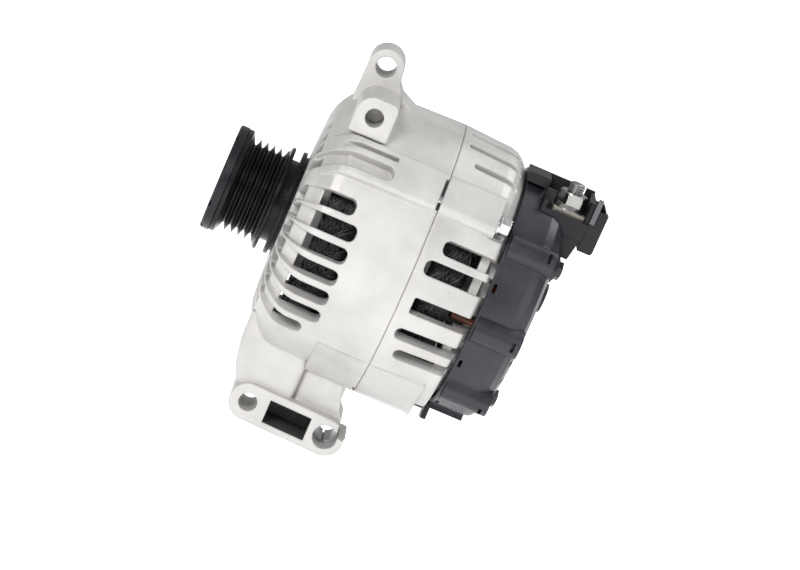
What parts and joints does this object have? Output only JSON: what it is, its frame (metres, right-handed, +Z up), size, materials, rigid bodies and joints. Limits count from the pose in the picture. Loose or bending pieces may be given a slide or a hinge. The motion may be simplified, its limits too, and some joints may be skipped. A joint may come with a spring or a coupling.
{
  "type": "automotive alternator",
  "caption": "Car alternator with slotted cast housings, overrunning ribbed belt pulley, claw-pole rotor, wound stator, plastic rear cover and lugs for bolting to an engine.",
  "frame": {"origin": "on the rotor axis, in the middle of the belt grooves", "axes": "+X along the rotor axis from the pulley to the rear cover, +Z up towards the upper mounting ear, -Y towards the side of the output terminal"},
  "size_m": [0.1796, 0.1409, 0.1929],
  "materials": {
    "housing_aluminium": "satin",
    "zinc_steel": "satin",
    "bearing_steel": "polished",
    "black_steel": "satin",
    "dark_iron": "matte",
    "lamination": "satin",
    "varnished_copper": "gloss",
    "copper": "satin",
    "charcoal_plastic": "matte",
    "black_plastic": "satin",
    "seal_rubber": "matte",
    "carbon": "matte",
    "plated_brass": "satin",
    "alloy_plate": "satin"
  },
  "bodies": {
    "housing": {"front_housing": "housing_aluminium", "rear_housing": "housing_aluminium", "rear_cover": "charcoal_plastic", "cover_nuts": "zinc_steel", "cover_spacers": "zinc_steel", "cover_studs": "zinc_steel", "through_bolts": "zinc_steel", "stator_core": "lamination", "slot_conductors": "varnished_copper", "front_end_turns": "varnished_copper", "rear_end_turns": "varnished_copper", "phase_leads": "copper", "front_outer_race": "bearing_steel", "front_bearing_seal": "seal_rubber", "bearing_retainer": "zinc_steel", "retainer_screws": "zinc_steel", "rear_outer_race": "bearing_steel", "negative_plate": "alloy_plate", "positive_plate": "alloy_plate", "negative_diodes": "alloy_plate", "positive_diodes": "alloy_plate", "brush_holder": "black_plastic", "brush_spring_inner": "zinc_steel", "brush_spring_outer": "zinc_steel", "regulator": "black_plastic", "terminal_block": "black_plastic", "terminal_plate": "plated_brass", "b_plus_stud": "zinc_steel", "b_plus_nut": "zinc_steel", "connector_shell": "black_plastic", "connector_pins": "plated_brass", "connector_frame": "alloy_plate"},
    "rotor": {"rotor_shaft": "bearing_steel", "front_claw_pole": "dark_iron", "rear_claw_pole": "dark_iron", "field_coil": "copper", "coil_bobbin": "black_plastic", "front_fan": "zinc_steel", "rear_fan": "zinc_steel", "slip_ring_carrier": "black_plastic", "slip_rings": "copper", "front_inner_race": "bearing_steel", "rear_inner_race": "bearing_steel", "pulley_hub": "black_steel", "clutch_rollers": "bearing_steel", "clutch_cage": "black_plastic", "overrun_inner_races": "bearing_steel", "overrun_balls": "bearing_steel"},
    "pulley": {"pulley_ring": "black_steel", "pulley_cap": "black_plastic", "clutch_sleeve": "bearing_steel", "overrun_outer_races": "bearing_steel"},
    "front_bearing_cage": {"front_balls": "bearing_steel", "front_cage": "bearing_steel"},
    "rear_bearing_cage": {"rear_balls": "bearing_steel", "rear_cage": "bearing_steel"},
    "inner_brush": {"brush_inner": "carbon"},
    "outer_brush": {"brush_outer": "carbon"},
    "sleeve": {"mount_sleeve": "zinc_steel"}
  },
  "joints": [
    {"name": "rotor_spin", "type": "hinge", "parent": "housing", "child": "rotor", "pos_m": [0, 0, 0], "axis": [1, 0, 0], "continuous": true},
    {"name": "pulley_overrun", "type": "hinge", "parent": "rotor", "child": "pulley", "pos_m": [0, 0, 0], "axis": [1, 0, 0], "continuous": true},
    {"name": "front_cage_spin", "type": "hinge", "parent": "housing", "child": "front_bearing_cage", "pos_m": [0.031, 0, 0], "axis": [1, 0, 0], "continuous": true},
    {"name": "rear_cage_spin", "type": "hinge", "parent": "housing", "child": "rear_bearing_cage", "pos_m": [0.1175, 0, 0], "axis": [1, 0, 0], "continuous": true},
    {"name": "inner_brush_slide", "type": "slide", "parent": "housing", "child": "inner_brush", "axis": [0, 0, 1], "range_m": [0, 0.004], "stiffness_N_per_m": 250, "springref_m": -0.012, "deforming": ["brush_spring_inner"]},
    {"name": "outer_brush_slide", "type": "slide", "parent": "housing", "child": "outer_brush", "axis": [0, 0, 1], "range_m": [0, 0.004], "stiffness_N_per_m": 250, "springref_m": -0.012, "deforming": ["brush_spring_outer"]},
    {"name": "sleeve_slide", "type": "slide", "parent": "housing", "child": "sleeve", "axis": [0, 1, 0], "range_m": [-0.002, 0.002]}
  ],
  "couplings": [
    {"joint": "front_cage_spin", "follows": "rotor_spin", "ratio": 0.376},
    {"joint": "rear_cage_spin", "follows": "rotor_spin", "ratio": 0.384}
  ]
}
